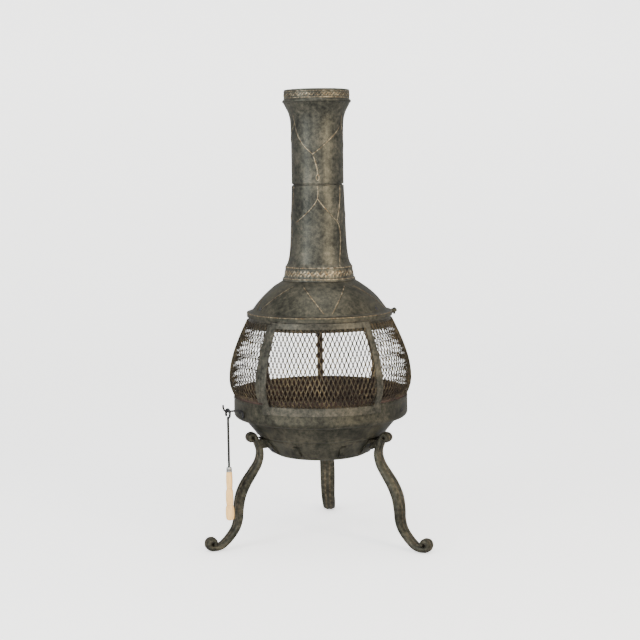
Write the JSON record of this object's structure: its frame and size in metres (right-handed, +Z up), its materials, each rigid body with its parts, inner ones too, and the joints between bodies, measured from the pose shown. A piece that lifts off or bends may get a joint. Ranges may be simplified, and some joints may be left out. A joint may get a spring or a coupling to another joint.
{
  "type": "chiminea",
  "caption": "Free-standing garden fire bowl on scrolled legs, with a barrel mesh cage, a sliding mesh door, a dome and a tall flared flue.",
  "frame": {"origin": "middle of the box round the whole object, on the ground under it", "axes": "+Z up along the flue; -Y is the front, where the door is; +X is the viewer's right"},
  "size_m": [0.5714, 0.5558, 1.143],
  "materials": {
    "body_cast": "cast metal with a hammered bronze-grey finish, darker in the bowl",
    "flue_cast": "cast metal, bronze-grey with rubbed gold-brown highlights on the relief",
    "cage_strip": "bronze-grey paint on flat steel strip",
    "cage_mesh": "dark bronze paint on expanded steel mesh",
    "grate_iron": "sooted iron, matt",
    "black_steel": "black paint, satin",
    "ferrule_steel": "plain zinc-plated steel",
    "handle_wood": "pale turned wood, satin"
  },
  "bodies": {
    "chiminea": {"fire_bowl": "body_cast", "vent_hood_left": "body_cast", "vent_hood_right": "body_cast", "leg_left": "body_cast", "leg_right": "body_cast", "leg_rear": "body_cast", "fire_grate": "grate_iron", "cage_ring_lower": "body_cast", "cage_ring_upper": "body_cast", "post_front_left": "cage_strip", "post_front_right": "cage_strip", "post_rear_left": "cage_strip", "post_rear": "cage_strip", "post_rear_right": "cage_strip", "mesh_left": "cage_mesh", "mesh_right": "cage_mesh", "dome": "body_cast", "dome_lug": "body_cast", "dome_lug_bolt": "black_steel", "flue_lower": "flue_cast", "flue_upper": "flue_cast", "poker_hook": "black_steel", "rim_bolt_left": "black_steel", "rim_bolt_right": "black_steel", "rim_bolt_rear": "black_steel", "rim_nut_left": "black_steel", "rim_nut_right": "black_steel", "rim_nut_rear": "black_steel", "dome_bolt_left": "black_steel", "dome_bolt_right": "black_steel", "dome_bolt_rear": "black_steel", "dome_nut_left": "black_steel", "dome_nut_right": "black_steel", "dome_nut_rear": "black_steel", "leg_bolt_left_upper": "black_steel", "leg_bolt_left_lower": "black_steel", "leg_bolt_right_upper": "black_steel", "leg_bolt_right_lower": "black_steel", "leg_bolt_rear_upper": "black_steel", "leg_bolt_rear_lower": "black_steel", "leg_nut_left_upper": "black_steel", "leg_nut_left_lower": "black_steel", "leg_nut_right_upper": "black_steel", "leg_nut_right_lower": "black_steel", "leg_nut_rear_upper": "black_steel", "leg_nut_rear_lower": "black_steel"},
    "door": {"door_frame": "cage_strip", "door_mesh": "cage_mesh", "door_hanger_left": "cage_strip", "door_hanger_right": "cage_strip", "door_shoe_left": "cage_strip", "door_shoe_right": "cage_strip"},
    "poker": {"poker_rod": "black_steel", "poker_ferrule": "ferrule_steel", "poker_handle": "handle_wood"}
  },
  "joints": [
    {"name": "door_slide", "type": "hinge", "parent": "chiminea", "child": "door", "pos_m": [0.01088, -0.043, 0.45], "axis": [0, 0, 1], "range_deg": [0, 92]},
    {"name": "poker_swing", "type": "hinge", "parent": "chiminea", "child": "poker", "pos_m": [-0.21831, -0.178, 0.355], "axis": [-0.8616, -0.5075, 0], "range_deg": [-20, 35]}
  ]
}
